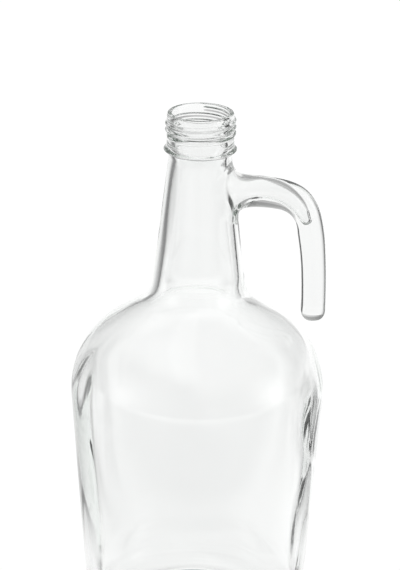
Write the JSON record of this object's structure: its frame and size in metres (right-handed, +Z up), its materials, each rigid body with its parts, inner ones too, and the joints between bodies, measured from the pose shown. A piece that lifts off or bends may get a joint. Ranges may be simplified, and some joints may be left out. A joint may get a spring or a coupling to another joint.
{
  "type": "glass carboy",
  "caption": "Clear glass carboy with a tapered round body, domed shoulder, conical neck, open side handle and a wide screw mouth.",
  "frame": {"origin": "centre of the base, on the surface the carboy stands on", "axes": "+Z up along the bottle's axis to the mouth, +X towards the handle, the seam plane of the mould is XZ"},
  "size_m": [0.1358, 0.1358, 0.29],
  "materials": {
    "clear_glass": "clear polished"
  },
  "bodies": {
    "root": {"base": "clear_glass", "body_wall": "clear_glass", "shoulder": "clear_glass", "neck": "clear_glass", "neck_finish": "clear_glass", "handle": "clear_glass"}
  },
  "joints": []
}
